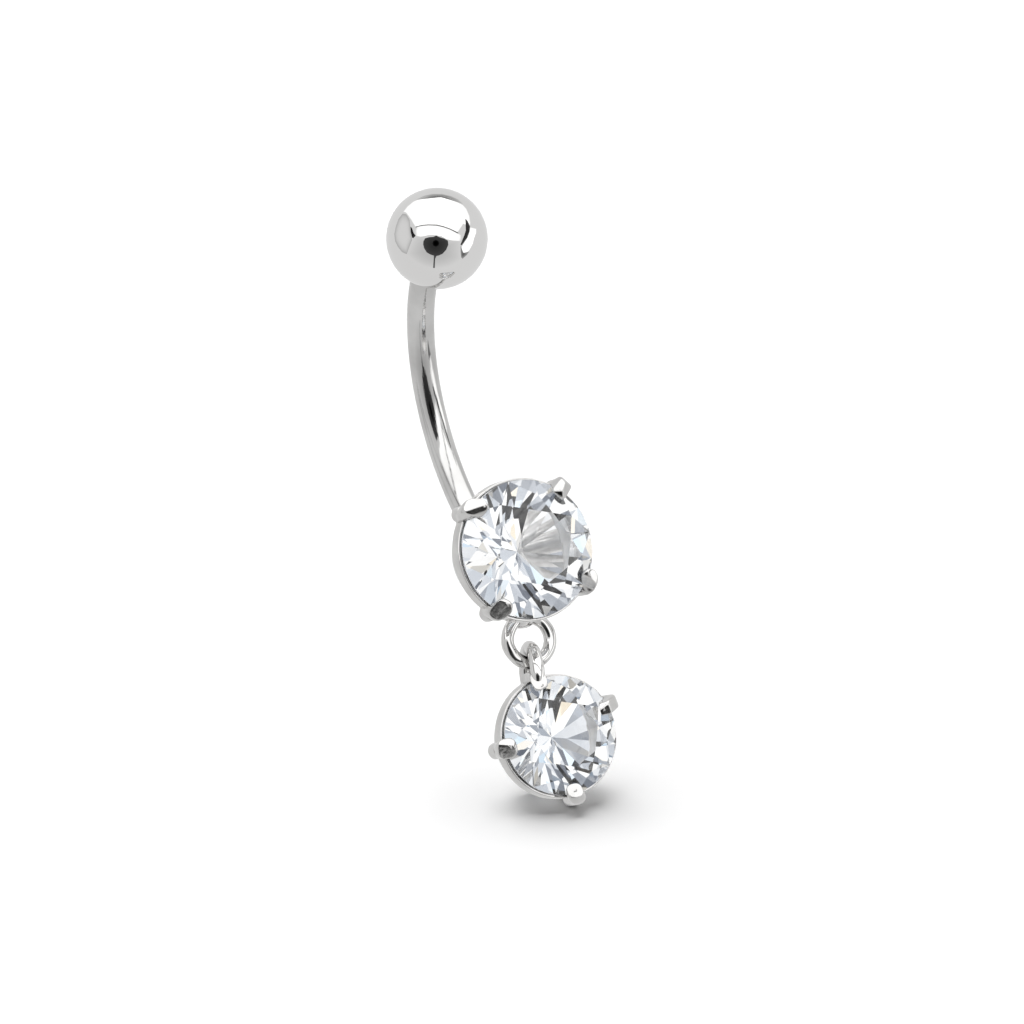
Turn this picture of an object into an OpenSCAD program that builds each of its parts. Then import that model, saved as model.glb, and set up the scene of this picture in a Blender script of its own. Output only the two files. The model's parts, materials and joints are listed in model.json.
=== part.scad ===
// Navel ring: a curved bar with a screw-on ball at its top and a claw-set round stone
// soldered to its foot, from which a smaller claw-set round stone hangs on a ring.
// The origin is where the bar passes through the skin, at the rear of its curve.
// Up is +Z, and the stones face -Y.

/* [Bar] */
// Thickness of the curved bar, the common 14 gauge
bar_d = 1.6; // [1.4:0.1:1.8]
// Radius of the bar's curve, to the middle of the bar
bar_curve_r = 10.5; // [9.5:0.5:12]
// Angle of the curve from the origin up to the ball
bar_up_deg = 62.5; // [58:0.5:65]
// Angle of the curve from the origin down to the setting
bar_down_deg = 54.5; // [50:0.5:58]
// How far the bar's foot stands behind the cross bars that it is soldered to
bar_foot_back = 0.15; // [0.05:0.05:0.3]
// How far the bar's foot is soldered below the middle of the setting
bar_foot_low = 0.45; // [0:0.05:0.6]

/* [Ball] */
// Diameter of the ball
ball_d = 5.85; // [5:0.05:7]
// How far the bar's full thickness goes into the ball
ball_sink = 0.35; // [0.2:0.05:0.5]
// Diameter of the screw end inside the ball
pin_d = 1.2; // [1:0.1:1.2]
// Length of the screw end
pin_len = 3.2; // [2:0.1:3.6]
// Clearance between the screw end and the ball, all round
pin_slip = 0.05; // [0.03:0.01:0.08]
// Clearance between the bar and the recess in the ball
recess_slip = 0.05; // [0.03:0.01:0.1]
// Free depth past the end of the screw
pin_end_gap = 0.2; // [0.1:0.1:0.5]

/* [Stones] */
// Diameter of the main stone
main_stone_d = 8; // [7:0.1:9]
// Diameter of the hanging stone
drop_stone_d = 6.9; // [6:0.1:7.5]
// Width of the flat table, as a share of the stone's diameter
table_share = 0.57; // [0.5:0.01:0.65]
// Thickness of the girdle, as a share of the stone's diameter
girdle_share = 0.03; // [0.02:0.005:0.04]
// How far the star facets reach from the table to the girdle
star_share = 0.5; // [0.4:0.05:0.6]
// How far the lower girdle facets reach from the girdle to the point
lower_share = 0.77; // [0.7:0.01:0.85]
// Slope of the main facets above the girdle
crown_deg = 34.5; // [30:0.5:36]
// Slope of the main facets below the girdle
pavilion_deg = 41; // [40:0.5:42]
// Turn of the cut about the stone's axis
stone_turn_deg = 11.5; // [0:0.5:22.5]
// Clearance between a stone and the metal cut out to seat it
seat_gap = 0.08; // [0.05:0.01:0.12]

/* [Settings] */
// How far the band stands out past the stone
band_lip = 0.15; // [0.1:0.05:0.3]
// How far the band reaches in under the stone
band_ledge = 0.38; // [0.3:0.01:0.6]
// Distance from the girdle back to the band
band_back = 0.26; // [0.2:0.01:0.4]
// Clearance between the stone and the band's bevelled edge, measured across
band_gap = 0.14; // [0.12:0.01:0.16]
// Height of the band, from front to back
band_h = 0.96; // [0.7:0.01:1.2]
// Thickness of the claws
claw_d = 0.95; // [0.8:0.05:1]
// Distance of a claw's middle outside the stone's edge
claw_out = 0.2; // [0.1:0.05:0.3]
// Distance behind the girdle where a claw starts to slope in
claw_shoulder_back = 0.5; // [0.4:0.05:0.7]
// Height above the girdle where a claw bends over the stone
claw_bend_h = 0.35; // [0.2:0.05:0.5]
// How far a claw's tip reaches in over the stone
claw_reach = 0.6; // [0.4:0.05:0.8]
// Height of a claw's tip above the girdle
claw_tip_h = 1; // [0.8:0.05:1.1]
// Angles of the main setting's claws, seen from the front
main_claw_deg = [45, 135, 225, 315];
// Angles of the drop's claws: the ring joins the first, and the last is bent as shown
drop_claw_deg = [90, 178, 271, 17];
// Width of the flat ring at the back of a setting
base_w = 1.05; // [1:0.05:1.2]
// Thickness of that ring, from front to back
base_t = 0.75; // [0.7:0.05:0.9]
// Radius of the main setting's back ring
main_base_r = 2.6; // [2.3:0.1:3]
// Radius of the drop's back ring
drop_base_r = 2.25; // [2:0.05:2.5]
// Distance from a stone's point back to the middle of the back ring
base_past_point = 0.1; // [0:0.05:0.3]
// Thickness of the upright cross bar that the bar's foot is soldered to
cross_d = 1; // [0.95:0.05:1.2]
// Thickness of the level cross bar
cross_level_d = 0.85; // [0.7:0.05:0.9]
// Clearance between the stone's point and the cross bars
point_gap = 0.06; // [0.03:0.01:0.15]

/* [Rings] */
// Thickness of the eye's wire under the main setting
eye_wire_d = 0.75; // [0.65:0.05:0.85]
// Radius of the eye, to the middle of its wire
eye_r = 1.325; // [1.3:0.025:1.5]
// Length of the neck between the back ring and the eye
eye_neck = 0.3; // [0.2:0.05:0.5]
// Thickness of that neck
eye_neck_d = 0.65; // [0.5:0.05:0.65]
// Thickness of the wire of the drop's ring
bail_wire_d = 0.8; // [0.7:0.05:0.85]
// Radius of the drop's ring, to the middle of its wire
bail_r = 1.5; // [1.4:0.05:1.6]
// Clearance between the drop's ring and the eye that it hangs in
bail_gap = 0.1; // [0.05:0.01:0.15]
// Angle where the drop's ring starts, on the shank of the top claw
bail_start_deg = -48; // [-52:1:-44]
// Angle where the drop's ring ends, in the head of the top claw
bail_end_deg = 184; // [182:1:186]
// Clearance between the eye and the top claw as the drop swings
swing_gap = 0.18; // [0.16:0.01:0.3]
// How far the hanging stone's girdle stands in front of the eye, so that it hangs straight
drop_forward = 1.05; // [0.85:0.05:1.1]

/* [Hidden] */
$fn = 32;
bar_steps = 80;
claw_steps = 24;
facet_turn = 45;
half_turn = facet_turn / 2;
joint_swell = 0.01;

// The bar's two ends, as distances along Y and Z
bar_top = [bar_curve_r * (cos(bar_up_deg) - 1), bar_curve_r * sin(bar_up_deg)];
bar_foot = [bar_curve_r * (cos(bar_down_deg) - 1), -bar_curve_r * sin(bar_down_deg)];

// Heights of a stone of diameter d, from the middle of its girdle
function girdle_h(d) = girdle_share * d / 2;
function table_r(d) = table_share * d / 2;
function star_r(d) =
    let (edge = table_r(d) * cos(half_turn)) edge + star_share * (d / 2 - edge);
function lower_r(d) = (1 - lower_share) * d / 2;
function table_h(d) = girdle_h(d) + (d / 2 - table_r(d)) * tan(crown_deg);
function star_h(d) = girdle_h(d) + (d / 2 - star_r(d) * cos(half_turn)) * tan(crown_deg);
function lower_depth(d) = girdle_h(d) + (d / 2 - lower_r(d) * cos(half_turn)) * tan(pavilion_deg);
function point_depth(d) = girdle_h(d) + d / 2 * tan(pavilion_deg);
function base_depth(d) = point_depth(d) + base_past_point;

// Places of the two settings and of the axis that the drop swings on
cross_depth = point_depth(main_stone_d) + point_gap + cross_d / 2;
main_y = bar_foot[0] - bar_foot_back - cross_depth;
main_z = bar_foot[1] + bar_foot_low;
eye_drop = main_base_r + base_w / 2 + eye_neck + eye_wire_d / 2 + eye_r;
swing_y = main_y + base_depth(main_stone_d);
swing_z = main_z - eye_drop - eye_r;
bail_z = swing_z + eye_wire_d / 2 + bail_gap + bail_wire_d / 2 - bail_r;
shank_run = base_depth(drop_stone_d) - claw_shoulder_back;
shank_fall = (drop_stone_d / 2 + claw_out - drop_base_r) / shank_run;
shank_r = drop_stone_d / 2 + claw_out - (drop_forward - claw_shoulder_back) * shank_fall;
shank_top = shank_r + claw_d / 2 * sqrt(1 + shank_fall * shank_fall);
drop_y = swing_y - drop_forward;
drop_z = swing_z - eye_wire_d / 2 - swing_gap - shank_top;

// Turns a drawing in X and Y so that it stands in the plane of Y and Z
module side_plane() { rotate([90, 0, 90]) children(); }

// Turns a shape made along +Z so that it faces the front
module face_front(y, z) { translate([0, y, z]) rotate([90, 0, 0]) children(); }

// Places a shape at the bar's top end, with its Z along the bar
module at_bar_top() {
    translate([0, bar_top[0], bar_top[1]]) rotate([bar_up_deg, 0, 0]) children();
}

// A length of ring wire between two angles
module ring_wire(r, wire_d, from_deg, to_deg) {
    rotate([0, 0, from_deg])
        rotate_extrude(angle = to_deg - from_deg) translate([r, 0]) circle(d = wire_d);
}

// A straight rod between two points
module rod(a, b, d) {
    run = b - a;
    tilt = acos(run[2] / norm(run));
    heading = atan2(run[1], run[0]);
    translate(a) rotate([0, tilt, heading]) cylinder(d = d, h = norm(run));
}

// Round outline of a stone's widest reach, turned about its axis, that seats the stone
module stone_room(d) {
    grow = (d + 2 * seat_gap) / d;
    rotate_extrude()
        polygon(grow * [
            [0, -point_depth(d)],
            [lower_r(d), -lower_depth(d)],
            [d / 2, -girdle_h(d)],
            [d / 2, girdle_h(d)],
            [star_r(d), star_h(d)],
            [table_r(d), table_h(d)],
            [0, table_h(d)]
        ]);
}

// Points at one height and radius, at every second half turn of the cut
function cut_ring(r, h, first, step) =
    [for (a = [first:step:359.9]) [r * cos(a), r * sin(a), h]];

// Round brilliant cut: table, 8 stars, 8 kites and 16 facets above the girdle,
// 16 facets and 8 mains that meet in a point below it
module brilliant(d) {
    table = cut_ring(table_r(d), table_h(d), 0, facet_turn);
    stars = cut_ring(star_r(d), star_h(d), half_turn, facet_turn);
    girdle_top = cut_ring(d / 2, girdle_h(d), 0, half_turn);
    girdle_foot = cut_ring(d / 2, -girdle_h(d), 0, half_turn);
    lowers = cut_ring(lower_r(d), -lower_depth(d), half_turn, facet_turn);
    cuts = 360 / facet_turn;
    s0 = cuts;
    g0 = s0 + cuts;
    f0 = g0 + 2 * cuts;
    l0 = f0 + 2 * cuts;
    point = l0 + cuts;
    rotate([0, 0, stone_turn_deg])
        polyhedron(
            points = concat(table, stars, girdle_top, girdle_foot, lowers, [[0, 0, -point_depth(d)]]),
            faces = concat(
                [[for (k = [cuts - 1:-1:0]) k]],
                [for (k = [0:cuts - 1]) [k, (k + 1) % cuts, s0 + k]],
                [for (k = [0:cuts - 1]) [k, s0 + k, g0 + 2 * k, s0 + (k + cuts - 1) % cuts]],
                [for (k = [0:cuts - 1]) [s0 + k, g0 + 2 * k + 1, g0 + 2 * k]],
                [for (k = [0:cuts - 1]) [s0 + k, g0 + (2 * k + 2) % (2 * cuts), g0 + 2 * k + 1]],
                [for (k = [0:2 * cuts - 1])
                    let (n = (k + 1) % (2 * cuts)) [g0 + k, g0 + n, f0 + n, f0 + k]],
                [for (k = [0:cuts - 1]) [l0 + k, f0 + 2 * k, f0 + 2 * k + 1]],
                [for (k = [0:cuts - 1]) [l0 + k, f0 + 2 * k + 1, f0 + (2 * k + 2) % (2 * cuts)]],
                [for (k = [0:cuts - 1]) [point, l0 + (k + cuts - 1) % cuts, f0 + 2 * k, l0 + k]]
            ),
            convexity = 2
        );
}

// One claw: up from the back ring, past the band and over the stone, cut out to seat the
// stone and with a flat tip
module claw(d, base_r, turn_deg) {
    foot = [base_r, 0, -base_depth(d)];
    shoulder = [d / 2 + claw_out, 0, -claw_shoulder_back];
    bend = [d / 2 + claw_out, 0, claw_bend_h];
    tip = [d / 2 - claw_reach, 0, claw_tip_h];
    rotate([0, 0, turn_deg])
        difference() {
            union() {
                rod(foot, shoulder, claw_d);
                translate(shoulder) sphere(d = claw_d + joint_swell);
                rod(shoulder, bend, claw_d);
                translate(bend) sphere(d = claw_d + joint_swell);
                rod(bend, tip, claw_d);
            }
            stone_room(d);
        }
}

// Band under the stone's edge, with a bevel that follows the stone's slope
module band(d) {
    outer = d / 2 + band_lip;
    inner = d / 2 - band_ledge;
    rim = d / 2 + band_gap - (band_back - girdle_h(d)) / tan(pavilion_deg);
    bevel_h = (rim - inner) * tan(pavilion_deg);
    rotate_extrude()
        polygon([
            [outer, -band_back],
            [rim, -band_back],
            [inner, -band_back - bevel_h],
            [inner, -band_back - band_h],
            [outer, -band_back - band_h]
        ]);
}

// Flat ring that the claws rise from
module back_ring(d, base_r) {
    rotate_extrude()
        translate([base_r - base_w / 2, -base_depth(d) - base_t / 2]) square([base_w, base_t]);
}

// Band, back ring and claws of one setting
module basket(d, base_r, claw_angles) {
    band(d);
    back_ring(d, base_r);
    for (a = claw_angles) claw(d, base_r, a, $fn = claw_steps);
}

// Ball with a blind hole for the screw end and a recess for the bar
module top_ball() {
    recess_h = ball_sink + recess_slip;
    color("silver")
        difference() {
            at_bar_top() translate([0, 0, ball_d / 2 - ball_sink]) sphere(d = ball_d);
            at_bar_top() cylinder(d = pin_d + 2 * pin_slip, h = pin_len + pin_end_gap);
            at_bar_top() translate([0, 0, recess_slip - bar_d])
                cylinder(d = bar_d + 2 * recess_slip, h = bar_d);
        }
}

// Cross bars behind the stone, with the bar soldered where they meet
module cross_bars() {
    rod([0, -main_base_r, -cross_depth], [0, main_base_r, -cross_depth], cross_d);
    rod([-main_base_r, 0, -cross_depth], [main_base_r, 0, -cross_depth], cross_level_d);
}

// Eye under the main setting, on its short neck
module eye() {
    translate([0, -eye_drop, -base_depth(main_stone_d)]) ring_wire(eye_r, eye_wire_d, 0, 360);
    rod([0, -main_base_r, -base_depth(main_stone_d)],
        [0, eye_r - eye_drop, -base_depth(main_stone_d)], eye_neck_d);
}

// Curved bar with its screw end, soldered to the main setting and its eye
module bar_and_setting() {
    color("gainsboro") {
        translate([0, -bar_curve_r, 0])
            side_plane() ring_wire(bar_curve_r, bar_d, -bar_down_deg, bar_up_deg, $fn = bar_steps);
        at_bar_top() translate([0, 0, -pin_d]) cylinder(d = pin_d, h = pin_d + pin_len);
        face_front(main_y, main_z) {
            basket(main_stone_d, main_base_r, main_claw_deg);
            cross_bars();
            eye();
        }
    }
}

// Main stone
module main_stone() {
    color("aliceblue") face_front(main_y, main_z) brilliant(main_stone_d);
}

// Hanging stone's setting, with the ring that holds it in the eye
module drop_setting() {
    color("gainsboro") {
        face_front(drop_y, drop_z) basket(drop_stone_d, drop_base_r, drop_claw_deg);
        translate([0, swing_y, bail_z])
            side_plane() ring_wire(bail_r, bail_wire_d, bail_start_deg, bail_end_deg);
    }
}

// Hanging stone
module drop_stone() {
    color("aliceblue") face_front(drop_y, drop_z) brilliant(drop_stone_d);
}

top_ball();
bar_and_setting();
main_stone();
drop_setting();
drop_stone();
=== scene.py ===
"""Navel ring: a curved polished bar with a screw-on ball, a claw-set round stone at its foot
and a smaller claw-set round stone that hangs from it on two interlocked rings.

Shapes are worked out in millimetres and put into meshes in metres. In a setting's own
coordinates the first number runs to the right, the second up and the third to the front.
"""
import json
import logging
import math
from dataclasses import dataclass, field
from enum import Enum

import bpy
import numpy as np
from mathutils import Matrix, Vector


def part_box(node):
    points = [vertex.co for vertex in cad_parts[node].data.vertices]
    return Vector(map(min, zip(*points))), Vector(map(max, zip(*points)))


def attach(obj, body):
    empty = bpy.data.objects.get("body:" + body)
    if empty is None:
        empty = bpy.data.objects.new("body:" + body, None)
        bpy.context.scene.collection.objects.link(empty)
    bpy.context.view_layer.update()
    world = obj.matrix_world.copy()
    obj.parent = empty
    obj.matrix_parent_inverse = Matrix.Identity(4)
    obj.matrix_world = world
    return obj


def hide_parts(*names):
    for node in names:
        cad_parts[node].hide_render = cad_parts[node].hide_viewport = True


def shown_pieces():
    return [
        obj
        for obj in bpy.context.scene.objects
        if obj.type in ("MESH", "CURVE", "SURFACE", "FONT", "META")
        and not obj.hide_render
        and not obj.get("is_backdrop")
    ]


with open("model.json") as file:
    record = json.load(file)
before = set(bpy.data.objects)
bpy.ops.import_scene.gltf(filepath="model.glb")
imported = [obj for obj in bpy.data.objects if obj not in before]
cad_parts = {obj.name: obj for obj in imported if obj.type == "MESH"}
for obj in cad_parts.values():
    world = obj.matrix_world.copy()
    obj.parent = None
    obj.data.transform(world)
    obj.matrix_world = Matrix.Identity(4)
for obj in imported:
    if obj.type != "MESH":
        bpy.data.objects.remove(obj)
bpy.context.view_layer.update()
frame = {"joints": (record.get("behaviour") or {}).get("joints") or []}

MM = 0.001
FULL_TURN = 2 * math.pi
TINY = 1e-6
WHITE = (1.0, 1.0, 1.0)
FRONT = np.array([0.0, -1.0, 0.0])
UP = np.array([0.0, 0.0, 1.0])
SIDE = np.array([1.0, 0.0, 0.0])
VIEW_TURN = math.radians(-22.0)
VIEW_LEAN = math.radians(15.3)
log = logging.getLogger("navel_ring")


class Slot(Enum):
    """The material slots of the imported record."""

    BALL = "ball_metal"
    BAR = "bar_metal"
    DROP = "drop_metal"
    MAIN_STONE = "clear_stone"
    DROP_STONE = "drop_clear_stone"


def unit(vectors: np.ndarray) -> np.ndarray:
    """Each vector divided by its own length."""
    return vectors / np.linalg.norm(vectors, axis=-1, keepdims=True)


def soft_step(x: np.ndarray, width: float) -> np.ndarray:
    """A ramp that is 0 below zero and x above it, rounded over about the given width."""
    return 0.5 * (x + np.sqrt(x * x + width * width))


def ease(x: np.ndarray) -> np.ndarray:
    """Smooth step from 0 to 1: three x squared less two x cubed, with x held to 0..1."""
    held = np.clip(x, 0.0, 1.0)
    return held * held * (3.0 - 2.0 * held)


def view_axes() -> tuple[np.ndarray, np.ndarray, np.ndarray]:
    """The picture's right, up and towards-the-viewer directions in the frame."""
    level = np.array([math.cos(VIEW_TURN), math.sin(VIEW_TURN), 0.0])
    back = np.array([math.sin(VIEW_TURN), -math.cos(VIEW_TURN), 0.0])
    right = level * math.cos(VIEW_LEAN) - UP * math.sin(VIEW_LEAN)
    return right, level * math.sin(VIEW_LEAN) + UP * math.cos(VIEW_LEAN), back


def joint(body: str) -> dict:
    """The joint that moves a body."""
    return next(j for j in frame["joints"] if j["child"] == body)


def put(name: str, data: bpy.types.ID) -> bpy.types.Object:
    """Puts a mesh, light or camera into the scene as an object at the origin."""
    thing = bpy.data.objects.new(name, data)
    bpy.context.scene.collection.objects.link(thing)
    return thing


@dataclass
class Shell:
    """A closed skin of quads and triangles in mm, with a flat map for each corner."""

    points: np.ndarray
    quads: np.ndarray
    quad_map: np.ndarray
    tris: np.ndarray
    tri_map: np.ndarray

    def volume(self) -> float:
        """Signed volume: the sum of the triangles' triple products over six."""
        a, b, c, d = (self.points[self.quads[:, k]] for k in range(4))
        total = np.einsum("ij,ij->", a, np.cross(b, c)) + np.einsum("ij,ij->", a, np.cross(c, d))
        if len(self.tris):
            a, b, c = (self.points[self.tris[:, k]] for k in range(3))
            total += np.einsum("ij,ij->", a, np.cross(b, c))
        return float(total) / 6.0

    def outward(self) -> "Shell":
        """The same skin with its faces turned to look outwards."""
        if self.volume() < 0:
            self.quads, self.quad_map = self.quads[:, ::-1], self.quad_map[:, ::-1]
            self.tris, self.tri_map = self.tris[:, ::-1], self.tri_map[:, ::-1]
        return self


def skin(grid: np.ndarray, wrap_along: bool = False, capped: bool = False) -> Shell:
    """Skins a grid of points whose second direction runs round and closes on itself.

    Args:
        grid: points in mm, along by round by 3.
        wrap_along: whether the first direction closes on itself too.
        capped: whether the two end rings are closed, each by a fan round its middle.

    Returns:
        The skin, with the flat map's first number along and its second round.
    """
    along, around = grid.shape[:2]
    rows = np.arange(along if wrap_along else along - 1)
    i, j = np.meshgrid(rows, np.arange(around), indexing="ij")
    i, j = i.ravel(), j.ravel()
    i2, j2 = (i + 1) % along, (j + 1) % around
    quads = np.stack([i * around + j, i2 * around + j, i2 * around + j2, i * around + j2], axis=1)
    u0, u1 = i / along, (i + 1) / along
    v0, v1 = j / around, (j + 1) / around
    quad_map = np.stack([np.stack(c, -1) for c in ((u0, v0), (u1, v0), (u1, v1), (u0, v1))], 1)
    points = grid.reshape(-1, 3)
    tris, tri_map = np.zeros((0, 3), int), np.zeros((0, 3, 2))
    if capped:
        k = np.arange(around)
        first, last = len(points), len(points) + 1
        end = (along - 1) * around
        points = np.concatenate([points, grid[:1].mean(axis=1), grid[-1:].mean(axis=1)])
        lower = np.stack([np.full(around, first), k, (k + 1) % around], axis=1)
        upper = np.stack([np.full(around, last), end + (k + 1) % around, end + k], axis=1)
        tris = np.concatenate([lower, upper])
        v0, v1 = k / around, (k + 1) / around
        zero, one = np.zeros(around), np.ones(around)
        low_map = np.stack([np.stack(c, -1) for c in ((zero, v0), (zero, v0), (zero, v1))], 1)
        top_map = np.stack([np.stack(c, -1) for c in ((one, v0), (one, v1), (one, v0))], 1)
        tri_map = np.concatenate([low_map, top_map])
    return Shell(points, quads, quad_map, tris, tri_map).outward()


def sheet(name: str, grid: np.ndarray) -> tuple[bpy.types.Mesh, np.ndarray]:
    """Makes an open mesh of quads over a grid.

    Args:
        name: the mesh's name.
        grid: points in mm, rows by columns by 3.

    Returns:
        The mesh, and the four point numbers of each of its faces.
    """
    rows, columns = grid.shape[:2]
    i, j = np.meshgrid(np.arange(rows - 1), np.arange(columns - 1), indexing="ij")
    first = (i * columns + j).ravel()
    faces = np.stack([first, first + 1, first + columns + 1, first + columns], axis=1)
    mesh = bpy.data.meshes.new(name)
    mesh.from_pydata((grid.reshape(-1, 3) * MM).tolist(), [], faces.tolist())
    return mesh, faces


def fit(piece: bpy.types.Object, body: str, slot: Slot, node: str) -> None:
    """Seats a piece on its body and hides the solid that it stands for."""
    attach(piece, body)
    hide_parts(node)
    log.info("%s: %d faces on %s", piece.name, len(piece.data.polygons), body)


def build(
    name: str, shells: list[Shell], material: bpy.types.Material, body: str, slot: Slot, node: str
) -> None:
    """Puts skins into one smooth piece at the origin.

    Args:
        name: the piece's name.
        shells: its skins, in mm.
        material: its finish.
        body: the body that it rides on.
        slot: its material slot, not used.
        node: the solid that it stands for.
    """
    starts = np.cumsum([0] + [len(s.points) for s in shells])
    quads = np.concatenate([s.quads + n for s, n in zip(shells, starts)])
    tris = np.concatenate([s.tris + n for s, n in zip(shells, starts)])
    mesh = bpy.data.meshes.new(name)
    points = np.concatenate([s.points for s in shells]) * MM
    mesh.from_pydata(points.tolist(), [], quads.tolist() + tris.tolist())
    flat = np.concatenate(
        [s.quad_map.reshape(-1, 2) for s in shells] + [s.tri_map.reshape(-1, 2) for s in shells]
    )
    mesh.uv_layers.new(name="along_round").data.foreach_set("uv", flat.astype(np.float32).ravel())
    mesh.polygons.foreach_set("use_smooth", np.ones(len(mesh.polygons), bool))
    mesh.materials.append(material)
    mesh.update()
    fit(put(name, mesh), body, slot, node)


def tube(
    path: np.ndarray, across: np.ndarray, radial: np.ndarray, sideways: np.ndarray
) -> np.ndarray:
    """Carries an oval section along a path.

    Formula: each point is the path's point, plus the in-plane normal times the radial size times
    the cosine of the turn, plus the across direction times the sideways size times its sine.

    Args:
        path: the path's points, n by 3.
        across: a direction square to the path, 3 or n by 3.
        radial: half size along the in-plane normal, n by m.
        sideways: half size along the across direction, n by m.

    Returns:
        A grid of n by m by 3 points.
    """
    tangent = unit(np.gradient(path, axis=0))
    across = np.broadcast_to(across, path.shape)
    across = unit(across - np.sum(across * tangent, -1, keepdims=True) * tangent)
    normal = np.cross(tangent, across)
    turn = np.linspace(0, FULL_TURN, radial.shape[1], endpoint=False)
    return (
        path[:, None]
        + (radial * np.cos(turn))[..., None] * normal[:, None]
        + (sideways * np.sin(turn))[..., None] * across[:, None]
    )


def revolve(profile: np.ndarray, turns: int) -> np.ndarray:
    """Turns a profile of radius and height about the third axis: radius times cosine and sine.

    Args:
        profile: n by 2, or turns by n by 2 where it changes on its way round.
        turns: number of steps round.

    Returns:
        A grid of turns by n by 3 points.
    """
    angle = np.linspace(0, FULL_TURN, turns, endpoint=False)[:, None]
    r, h = profile[..., 0], profile[..., 1]
    return np.stack([r * np.cos(angle), r * np.sin(angle), h + 0 * angle], axis=-1)


def rounded(corners: np.ndarray, radius: float, steps: int = 6) -> np.ndarray:
    """Rounds a closed outline: each corner becomes a curve between two points on its sides.

    Formula: a quadratic curve whose middle handle is the corner itself.

    Args:
        corners: n by 2.
        radius: how far from the corner the curve starts.
        steps: points on each curve.

    Returns:
        The outline, n times steps by 2.
    """
    before = unit(np.roll(corners, 1, axis=0) - corners) * radius
    after = unit(np.roll(corners, -1, axis=0) - corners) * radius
    t = np.linspace(0, 1, steps)[None, :, None]
    c = corners[:, None]
    curve = (1 - t) ** 2 * (c + before[:, None]) + 2 * t * (1 - t) * c + t**2 * (c + after[:, None])
    return curve.reshape(-1, 2)


def ripple(
    along: np.ndarray, around: np.ndarray, height: float, seed: int, waves: int = 9
) -> np.ndarray:
    """Low uneven lumps that close on themselves both ways round.

    Formula: a sum of cosines of whole-number waves along and around, with seeded phases.

    Args:
        along: turn along the piece, in radians.
        around: turn round its section, in radians.
        height: about the height of the lumps.
        seed: start of the random phases.
        waves: the most waves along the piece.

    Returns:
        The height at each point.
    """
    rng = np.random.default_rng(seed)
    count, most_around = 10, 3
    m = rng.integers(1, waves + 1, count)
    k = rng.integers(-most_around, most_around + 1, count)
    phase = rng.uniform(0, FULL_TURN, count)
    terms = np.cos(along[..., None] * m + around[..., None] * k + phase)
    return height * terms.sum(-1) / math.sqrt(count)


def hammered_wire(along: np.ndarray, radius: float, seed: int) -> np.ndarray:
    """A ring wire's radius with soft hammer marks, one row for each turn along it."""
    sides, mark = 56, 0.012
    turn = np.linspace(0, FULL_TURN, sides, endpoint=False)
    return radius + ripple(along[:, None] + 0 * turn, turn[None] + 0 * along[:, None], mark, seed)


class Nodes:
    """The node tree of a material or the world, with short calls to add and join nodes."""

    def __init__(self, owner: bpy.types.Material | bpy.types.World) -> None:
        """Starts the owner's tree empty."""
        owner.use_nodes = True
        self.owner = owner
        self.tree = owner.node_tree
        self.tree.nodes.clear()

    def add(self, kind: str, **values: object) -> bpy.types.Node:
        """Adds a node. A value named like a socket goes to it, and any other to the node."""
        node = self.tree.nodes.new(kind)
        for key, value in values.items():
            label = key.replace("_", " ").title().replace("Ior", "IOR")
            if label in node.inputs:
                node.inputs[label].default_value = value
            else:
                setattr(node, key, value)
        return node

    def join(self, start: bpy.types.NodeSocket, end: bpy.types.NodeSocket) -> None:
        """Links an output to an input."""
        self.tree.links.new(start, end)

    def ramp(
        self, value: bpy.types.NodeSocket, *stops: tuple[float, tuple[float, float, float]]
    ) -> bpy.types.NodeSocket:
        """Turns a value into a colour.

        Args:
            value: the output to read.
            stops: positions in rising order, each with its colour.

        Returns:
            The colour's output.
        """
        node = self.add("ShaderNodeValToRGB")
        elements = node.color_ramp.elements
        for position, _ in stops[1:-1]:
            elements.new(position)
        for element, (position, colour) in zip(elements, stops):
            element.position = position
            element.color = (*colour, 1.0)
        self.join(value, node.inputs["Fac"])
        return node.outputs["Color"]

    def mix(
        self, share: bpy.types.NodeSocket, first: bpy.types.Node, second: bpy.types.Node
    ) -> bpy.types.Node:
        """Goes from the first shader to the second as the share grows from 0 to 1."""
        node = self.add("ShaderNodeMixShader")
        self.join(share, node.inputs["Fac"])
        self.join(first.outputs[0], node.inputs[1])
        self.join(second.outputs[0], node.inputs[2])
        return node

    def multiply(self, a: bpy.types.NodeSocket, b: bpy.types.NodeSocket) -> bpy.types.NodeSocket:
        """Multiplies two colours."""
        node = self.add("ShaderNodeMixRGB", blend_type="MULTIPLY", fac=1.0)
        self.join(a, node.inputs["Color1"])
        self.join(b, node.inputs["Color2"])
        return node.outputs["Color"]

    def close(self, shader: bpy.types.Node) -> bpy.types.Material | bpy.types.World:
        """Sends a shader to the surface and gives the tree's owner back."""
        kind = "World" if isinstance(self.owner, bpy.types.World) else "Material"
        output = self.add(f"ShaderNodeOutput{kind}")
        self.join(shader.outputs[0], output.inputs["Surface"])
        return self.owner


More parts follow.
